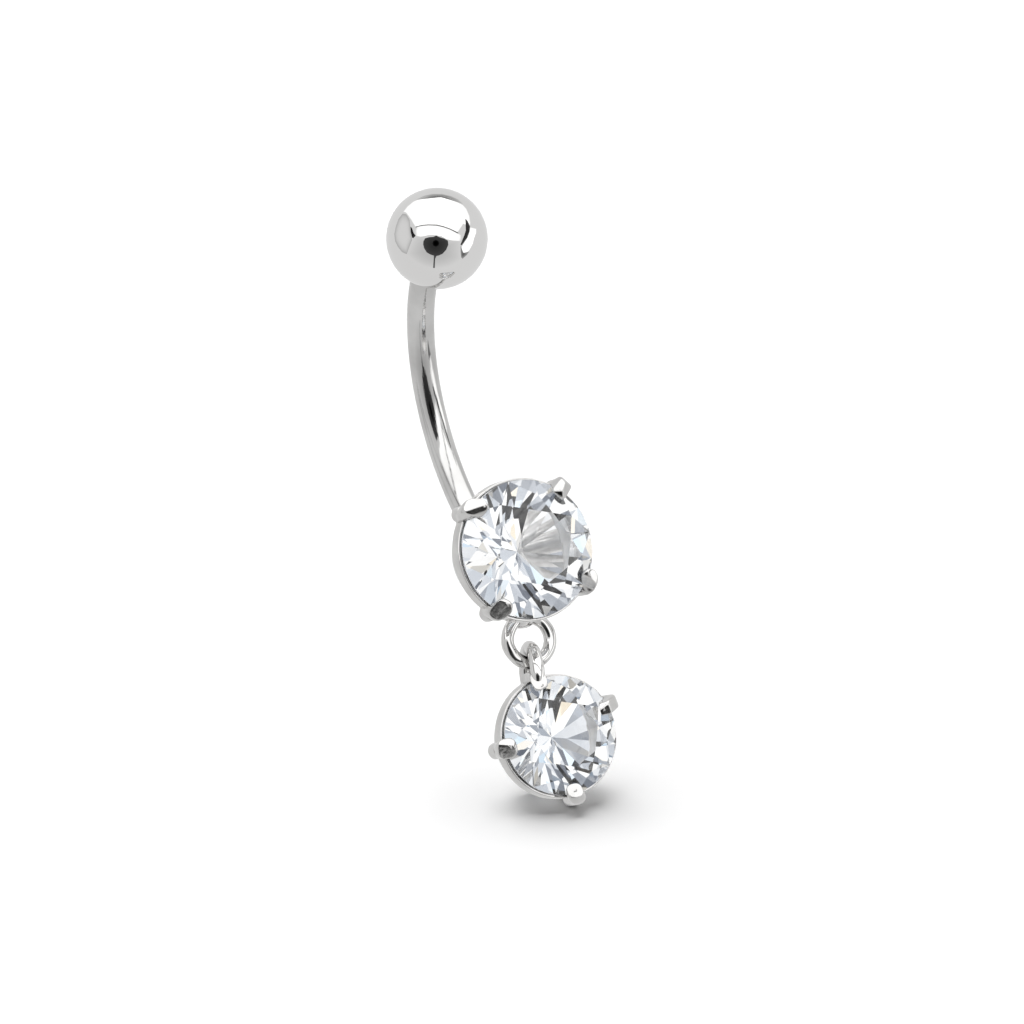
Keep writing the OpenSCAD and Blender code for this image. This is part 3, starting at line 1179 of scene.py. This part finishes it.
SOFTBOX = Card(
    "softbox",
    (
        (-0.42, 0.22), (-0.5, 0.36), (-0.6, 0.51), (-0.65, 0.53), (-0.57, 0.63), (-0.46, 0.72),
        (-0.3, 0.79), (-0.1, 0.83), (0.1, 0.825), (0.25, 0.79), (0.38, 0.72), (0.5, 0.66),
        (0.57, 0.585), (0.63, 0.45), (0.655, 0.3), (0.645, 0.24), (0.575, 0.38), (0.48, 0.22),
        (0.41, 0.11), (0.26, 0.18), (0.13, 0.225), (0.0, 0.255), (-0.17, 0.26), (-0.3, 0.25),
    ),
    glow=1.6, rim=0.95, fall=14.0, lights=True,
)
FRONT_STRIP = Card(
    "front_strip",
    (
        (-0.395, 0.215), (-0.3, 0.237), (-0.17, 0.247), (0.0, 0.24), (0.13, 0.21), (0.26, 0.165),
        (0.41, 0.09), (0.475, 0.06), (0.482, 0.0), (0.465, -0.06), (0.32, -0.055), (0.2, -0.03),
        (0.1, 0.03), (-0.1, 0.06), (-0.25, 0.045), (-0.33, 0.02), (-0.41, 0.04), (-0.42, 0.14),
    ),
    glow=1.5, rim=0.8, fall=9.0,
)
LEFT_WALL = Card(
    "left_wall",
    (
        (-0.665, 0.49), (-0.59, 0.47), (-0.53, 0.36), (-0.52, 0.22), (-0.5, 0.06), (-0.485, -0.04),
        (-0.54, -0.17), (-0.595, -0.31), (-0.69, -0.26), (-0.77, -0.15), (-0.82, -0.04),
        (-0.832, 0.1), (-0.8, 0.24), (-0.745, 0.39),
    ),
    glow=0.74, rim=0.45, fall=5.0,
)
FRONT_WALL = Card(
    "front_wall",
    (
        (-0.41, 0.03), (-0.2, 0.03), (0.0, 0.03), (0.2, -0.02), (0.465, -0.06), (0.468, -0.14),
        (0.475, -0.27), (0.48, -0.41), (0.39, -0.48), (0.26, -0.555), (0.1, -0.59), (-0.07, -0.595),
        (-0.25, -0.555), (-0.4, -0.48), (-0.52, -0.38), (-0.59, -0.31), (-0.54, -0.17), (-0.45, 0.0),
    ),
    glow=0.54, rim=0.74, fall=2.0,
)
RIGHT_STRIP = Card(
    "right_strip",
    (
        (0.655, 0.22), (0.77, 0.2), (0.772, 0.125), (0.73, 0.0), (0.71, -0.1), (0.64, -0.235),
        (0.565, -0.305), (0.505, -0.285), (0.487, -0.2), (0.505, -0.145), (0.605, 0.01), (0.645, 0.13),
    ),
    glow=1.6, rim=0.95, fall=8.0,
)
LEFT_GAP = Card(
    "left_gap",
    (
        (-0.515, 0.225), (-0.485, 0.2), (-0.45, 0.095), (-0.412, 0.045), (-0.46, -0.005),
        (-0.485, 0.01), (-0.51, 0.125),
    ),
    glow=0.02, rim=0.04,
)
RIGHT_GAP = Card(
    "right_gap",
    (
        (0.555, 0.39), (0.6, 0.34), (0.647, 0.24), (0.64, 0.14), (0.595, 0.01), (0.49, -0.145),
        (0.465, -0.13), (0.53, 0.03), (0.573, 0.175), (0.59, 0.29),
    ),
    glow=0.03, rim=0.06,
)
LOW_GAP = Card(
    "low_gap",
    (
        (0.465, -0.14), (0.487, -0.22), (0.5, -0.3), (0.565, -0.31), (0.64, -0.26), (0.59, -0.33),
        (0.51, -0.405), (0.48, -0.38), (0.47, -0.27),
    ),
    glow=0.1, rim=0.4, fall=2.0,
)
TOP_GAP = Card(
    "top_gap",
    (
        (-0.42, 0.75), (-0.2, 0.825), (-0.1, 0.833), (0.1, 0.828), (0.25, 0.795), (0.38, 0.725),
        (0.5, 0.68), (0.4, 0.77), (0.27, 0.83), (0.1, 0.868), (-0.1, 0.868), (-0.25, 0.835),
    ),
    glow=0.1, rim=0.6, fall=1.6,
)
DARK_LENS = Card(
    "dark_lens",
    (
        (-0.263, -0.07), (-0.23, -0.01), (-0.15, 0.012), (-0.065, 0.02), (-0.01, 0.045),
        (0.048, 0.014), (0.146, -0.013), (0.22, -0.055), (0.228, -0.135), (0.187, -0.235),
        (0.113, -0.315), (0.03, -0.35), (-0.025, -0.358), (-0.115, -0.333), (-0.2, -0.283),
        (-0.25, -0.2), (-0.267, -0.128),
    ),
    glow=0.03, rim=0.06, fall=2.0,
)
STONE_LENS = Card(
    "stone_lens",
    (
        (-0.12, 0.03), (-0.04, 0.07), (0.04, 0.07), (0.12, 0.03), (0.12, -0.08), (0.04, -0.15),
        (-0.04, -0.15), (-0.12, -0.08),
    ),
    glow=0.01, rim=0.02, seen=Seen.STONE,
)
LENS_CORE = Card(
    "lens_core",
    (
        (0.05, -0.108), (0.03, -0.06), (-0.018, -0.04), (-0.066, -0.06), (-0.086, -0.108),
        (-0.066, -0.156), (-0.018, -0.176), (0.03, -0.156),
    ),
    glow=0.0, rim=0.01,
)
LENS_STAND = Card(
    "lens_stand",
    (
        (-0.055, -0.26), (0.0, -0.26), (-0.005, -0.36), (-0.033, -0.41), (-0.04, -0.59),
        (-0.075, -0.59), (-0.06, -0.4),
    ),
    glow=0.03, rim=0.15, fall=1.0,
)
FRONT_EDGE = Card(
    "front_edge",
    (
        (-0.42, 0.23), (-0.3, 0.257), (-0.17, 0.268), (0.0, 0.263), (0.13, 0.235), (0.26, 0.19),
        (0.415, 0.115), (0.42, 0.085), (0.26, 0.15), (0.13, 0.195), (0.0, 0.225), (-0.17, 0.23),
        (-0.3, 0.225), (-0.4, 0.2),
    ),
    glow=0.0, rim=0.0,
)
CARDS = (
    FRONT_EDGE, LEFT_WALL, FRONT_WALL, FRONT_STRIP, SOFTBOX, RIGHT_STRIP, TOP_GAP, LEFT_GAP,
    RIGHT_GAP, LOW_GAP, LENS_STAND, DARK_LENS, STONE_LENS, LENS_CORE,
)


@dataclass
class Studio:
    """Camera, pale floor and soft light. Lengths are in mm and angles in degrees.

    Brightness is in shares of white. The stops are the noise values at which colours stand. A
    value ending in _steps, _rings or _turns is a number of parts, and one in _power an exponent.
    """

    main: Seat
    ball: np.ndarray
    aim_side: float = -0.276
    aim_up: float = 2.28
    view_width: float = 58.85
    lens: float = 300.0
    sensor: float = 36.0
    clip: tuple[float, float] = (0.01, 50.0)
    floor_lift: float = 22.0
    floor_r: float = 6000.0
    floor_white: float = 0.92
    floor_turns: int = 96
    floor_rings: int = 12
    floor_power: int = 3
    tent_r: float = 900.0
    card_gap: float = 4.0
    card_steps: int = 4
    card_rings: int = 16
    card_power: float = 0.5
    white: float = 0.99
    surround: float = 0.74
    cloud_scale: float = 9.0
    cloud_detail: float = 2.5
    cloud_stops: tuple[float, float, float] = (0.38, 0.47, 0.56)
    cloud_dark: tuple[float, float, float] = (0.16, 0.18, 0.22)
    cloud_middle: tuple[float, float, float] = (0.66, 0.7, 0.76)
    cloud_light: tuple[float, float, float] = (1.15, 1.15, 1.14)
    fire_scale: float = 14.0
    fire_detail: float = 2.0
    fire_stops: tuple[float, float, float, float] = (0.33, 0.4, 0.6, 0.67)
    fire_amber: tuple[float, float, float] = (1.0, 0.9, 0.74)
    fire_blue: tuple[float, float, float] = (0.74, 0.88, 1.0)
    fill: float = 0.24
    sky: float = 3.3
    sky_angle: float = 62.0
    sky_up: float = 3.0
    most_bounces: int = 32
    glossy_bounces: int = 24
    clear_bounces: int = 16

    def __post_init__(self) -> None:
        """Works out the camera's own directions."""
        self.right, self.top, self.back = view_axes()
        self.level = np.cross(UP, self.back)
        lift = math.radians(self.floor_lift)
        self.floor_up = math.cos(lift) * self.top + math.sin(lift) * self.back

    def towards(self, places: np.ndarray) -> np.ndarray:
        """Right, up and back numbers as places in the frame."""
        return places @ np.stack([self.right, self.top, self.back])

    def frame_at(self, place: np.ndarray, back: np.ndarray, right: np.ndarray) -> Matrix:
        """A turn and place for an object that looks along the opposite of `back`."""
        matrix = np.eye(4)
        matrix[:3, :3] = np.stack([right, np.cross(back, right), back], axis=1)
        matrix[:3, 3] = place * MM
        return Matrix(matrix.tolist())

    def camera(self) -> None:
        """Places the camera at the photograph's angle and lean."""
        data = bpy.data.cameras.new("camera")
        data.lens, data.sensor_width = self.lens, self.sensor
        data.clip_start, data.clip_end = self.clip
        camera = put("camera", data)
        aim = np.array([0.0, self.main.y, self.main.z])
        aim = aim + self.aim_side * self.level + self.aim_up * UP
        place = aim + self.back * self.view_width * self.lens / self.sensor
        camera.matrix_world = self.frame_at(place, self.back, self.right)
        bpy.context.scene.camera = camera

    def glow(self, card: Card) -> bpy.types.Material:
        """An even glow that changes towards the card's rim."""
        n = Nodes(bpy.data.materials.new(card.name))
        flat = n.add("ShaderNodeUVMap", uv_map="out_round")
        split = n.add("ShaderNodeSeparateXYZ")
        power = n.add("ShaderNodeMath", operation="POWER")
        power.inputs[1].default_value = card.fall
        blend = n.add("ShaderNodeMapRange", to_min=card.glow, to_max=card.rim)
        light = n.add("ShaderNodeEmission")
        n.join(flat.outputs["UV"], split.inputs[0])
        n.join(split.outputs["X"], power.inputs[0])
        n.join(power.outputs[0], blend.inputs["Value"])
        n.join(blend.outputs["Result"], light.inputs["Strength"])
        return n.close(light)

    def hang(self, card: Card, distance: float) -> None:
        """Hangs one card in the tent.

        Formula: the outline is filled from its middle outwards. A place on the ball's face has
        the normal (x, y, root of 1 - x squared - y squared), and the card stands where the
        straight view to the camera is mirrored about that normal.

        Args:
            card: the card.
            distance: how far it hangs from the ball, in mm.
        """
        corners, steps = np.array(card.corners), self.card_steps
        share = np.arange(steps)[:, None] / steps
        edges = corners[:, None] * (1 - share) + np.roll(corners, -1, axis=0)[:, None] * share
        outline = np.concatenate([edges.reshape(-1, 2), corners[:1]])
        out = np.linspace(0, 1, self.card_rings + 1)[:, None, None] ** self.card_power
        middle = corners.mean(axis=0)
        flat = middle + out * (outline - middle)
        deep = np.sqrt(1 - np.sum(flat * flat, axis=-1, keepdims=True))
        normal = np.concatenate([flat, deep], axis=-1)
        direction = 2 * deep * normal - np.array([0.0, 0.0, 1.0])
        grid = self.ball + self.towards(direction) * distance
        mesh, faces = sheet(card.name, grid)
        out_map = np.broadcast_to(out[..., 0], grid.shape[:2]).ravel()[faces]
        flat_map = np.stack([out_map, 0 * out_map], axis=-1).astype(np.float32)
        mesh.uv_layers.new(name="out_round").data.foreach_set("uv", flat_map.ravel())
        material = self.glow(card)
        material.cycles.emission_sampling = "AUTO" if card.lights else "NONE"
        mesh.materials.append(material)
        panel = put(card.name, mesh)
        panel.visible_camera = False
        panel.visible_shadow = False
        panel.visible_diffuse = False
        panel.visible_glossy = card.seen is not Seen.STONE
        panel.visible_transmission = card.seen is not Seen.METAL
        panel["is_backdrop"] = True

    def world(self) -> None:
        """White to the camera, soft grey in reflections and cloudy through the stones.

        Formula: through a stone the brightness of a direction comes from a noise of it, so that
        each facet shows its own tone, and a second noise tints it faintly blue or amber.
        """
        n = Nodes(bpy.data.worlds.new("studio"))
        path, place = n.add("ShaderNodeLightPath"), n.add("ShaderNodeTexCoord")
        tones = zip(self.cloud_stops, (self.cloud_dark, self.cloud_middle, self.cloud_light))
        tints = zip(self.fire_stops, (self.fire_amber, WHITE, WHITE, self.fire_blue))
        layers = []
        for size, detail, stops in (
            (self.cloud_scale, self.cloud_detail, tones),
            (self.fire_scale, self.fire_detail, tints),
        ):
            noise = n.add("ShaderNodeTexNoise", scale=size, detail=detail)
            n.join(place.outputs["Generated"], noise.inputs["Vector"])
            layers.append(n.ramp(noise.outputs["Fac"], *stops))
        cloudy = n.add("ShaderNodeBackground", strength=1.0)
        n.join(n.multiply(*layers), cloudy.inputs["Color"])
        surround, fill, white = (
            n.add("ShaderNodeBackground", color=(*WHITE, 1.0), strength=strength)
            for strength in (self.surround, self.fill, self.white)
        )
        last = surround
        for ray, shader in (
            ("Is Transmission Ray", cloudy), ("Is Diffuse Ray", fill), ("Is Camera Ray", white),
        ):
            last = n.mix(path.outputs[ray], last, shader)
        bpy.context.scene.world = n.close(last)

    def soft_sky(self) -> None:
        """A very wide soft light above the hanging piece, unseen in the metal and stones."""
        data = bpy.data.lights.new("soft_sky", "SUN")
        data.energy = self.sky
        data.angle = math.radians(self.sky_angle)
        light = put("soft_sky", data)
        above = unit(self.sky_up * UP + self.floor_up)
        light.matrix_world = self.frame_at(self.ball, above, unit(np.cross(above, self.back)))
        light.visible_glossy = False
        light.visible_transmission = False
        light.visible_camera = False

    def floor(self) -> None:
        """A wide pale floor that just meets the lowest claw, level in the picture."""
        ahead = np.cross(self.right, self.floor_up)
        lowest = min(
            (np.array([v.co for v in o.data.vertices]) @ self.floor_up).min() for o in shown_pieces()
        )
        centre = np.array([0.0, self.main.y, self.main.z]) * MM
        centre = (centre + (lowest - centre @ self.floor_up) * self.floor_up) / MM
        turns = np.linspace(0, FULL_TURN, self.floor_turns + 1)
        turn, out = np.meshgrid(turns, np.linspace(0, 1, self.floor_rings + 1) ** self.floor_power)
        around = np.cos(turn)[..., None] * self.right + np.sin(turn)[..., None] * ahead
        mesh, _ = sheet("floor", centre + self.floor_r * out[..., None] * around)
        n = Nodes(bpy.data.materials.new("pale_floor"))
        pale = n.add("ShaderNodeBsdfDiffuse", color=(*(self.floor_white,) * 3, 1.0))
        side, clear = n.add("ShaderNodeNewGeometry"), n.add("ShaderNodeBsdfTransparent")
        mesh.materials.append(n.close(n.mix(side.outputs["Backfacing"], pale, clear)))
        floor = put("floor", mesh)
        floor.visible_glossy = False
        floor.visible_transmission = False
        floor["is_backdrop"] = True

    def make(self) -> None:
        """Sets up the whole studio."""
        self.camera()
        for number, card in enumerate(CARDS):
            self.hang(card, self.tent_r - number * self.card_gap)
        self.world()
        self.soft_sky()
        self.floor()
        scene = bpy.context.scene
        scene.view_settings.view_transform = "Standard"
        scene.cycles.max_bounces = self.most_bounces
        scene.cycles.transmission_bounces = self.most_bounces
        scene.cycles.glossy_bounces = self.glossy_bounces
        scene.cycles.diffuse_bounces = 1
        scene.cycles.transparent_max_bounces = self.clear_bounces
        scene.cycles.use_denoising = True
        scene.cycles.denoiser = "OPENIMAGEDENOISE"


def main() -> None:
    """Builds the pieces in order, then the studio."""
    logging.basicConfig(level=logging.INFO, format="%(name)s: %(message)s")
    polish = CutCrystal("clear_crystal").material()
    frosted = CutCrystal("frosted_girdle", gloss=0.3, clear=0.35, tint=(0.9, 0.92, 0.95))
    frosting = frosted.material()
    main_stone = CutStone("main_stone", "main_brilliant", "barbell", Slot.MAIN_STONE)
    drop_stone = CutStone("drop_stone", "drop_brilliant", "drop", Slot.DROP_STONE)
    for stone in (main_stone, drop_stone):
        stone.make(polish, frosting)
    mirror = PolishedSteel("mirror_ball", wave_size=2.5, wave_height=0.002, gloss=(0.008, 0.02))
    ball = TopBall(mirror)
    ball.make()
    # The bar's colour has shade painted in wherever other surfaces come within half a millimetre.
    bar_steel = PolishedSteel(
        "drawn_bar", (0.71, 0.706, 0.699), (0.57, 0.566, 0.559), wave_size=1.2, wave_height=0.006,
        line_height=0.004, painted_shade_reach=0.5,
    )
    CurvedBar(ball, bar_steel).make()
    grey, dull = (0.72, 0.714, 0.705), (0.6, 0.594, 0.585)
    # The cast setting's colour has shade painted in at its crevices and where it meets the stones.
    cast_steel = PolishedSteel(
        "cast_setting", grey, dull, gloss=(0.08, 0.24), wave_size=0.6, wave_height=0.012, painted_shade_reach=0.5,
    )
    satin_back = PolishedSteel(
        "satin_back", (0.9, 0.895, 0.89), (0.7, 0.695, 0.69), gloss=(0.3, 0.45),
        wave_size=0.5, wave_height=0.03,
    )
    bright, worn = (0.8, 0.794, 0.785), (0.7, 0.694, 0.685)
    # The hammered rings' colour has shade painted in where the rings, neck and solder meet.
    hammered = PolishedSteel(
        "hammered_ring", bright, worn, wave_size=1.0, wave_height=0.006, painted_shade_reach=0.7,
    )
    main_claws = (
        Claw(
            45.0, square=7.0, twist=10.0, head_scale=0.95,
            filed=(Filed(0.86, -0.05, 1.04), Filed(-0.05, 0.4, 1.05), Filed(-0.05, -0.12, 1.04)),
        ),
        Claw(
            136.0, lean=-8.0, square=4.0,
            filed=(Filed(-0.1, 0.5, 0.98), Filed(0.25, -0.5, 1.02), Filed(0.12, -0.14, 0.89)),
        ),
        Claw(
            225.0, lean=3.0, head_scale=1.05,
            filed=(Filed(-0.02, -0.345, 0.87), Filed(0.3, 0.5, 1.04)),
        ),
        Claw(
            315.0, lean=6.0, head_scale=0.95,
            filed=(Filed(0.66, 0.05, 0.96), Filed(0.1, -0.14, 0.96), Filed(-0.2, -0.7, 1.12)),
        ),
    )
    main_setting = ClawSetting(main_stone, main_claws, base_r=2.6)
    MainSetting(main_setting, cast_steel, satin_back, hammered).make()
    drop_claws = (
        Claw(97.0, lean=5.0, square=4.0, head_scale=0.9, filed=(Filed(0.0, 0.45, 0.85),)),
        Claw(
            178.0, head_out=0.4, head_scale=1.2,
            filed=(Filed(0.0, -0.33, 0.86), Filed(0.05, 0.5, 1.02)),
        ),
        Claw(271.0, lean=-8.0, filed=(Filed(0.1, 0.42, 0.88),)),
        Claw(
            16.5, head_out=-0.5, square=7.0, twist=10.0, head_scale=0.8,
            filed=(Filed(0.8, 0.0, 1.4), Filed(-0.3, 0.35, 1.0), Filed(0.05, -0.15, 0.93)),
        ),
    )
    drop_setting = ClawSetting(drop_stone, drop_claws, base_r=2.25)
    Drop(drop_setting, cast_steel, satin_back, hammered).make()
    Studio(main_stone.seat, ball.centre).make()
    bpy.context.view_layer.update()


if __name__ == "__main__":
    main()
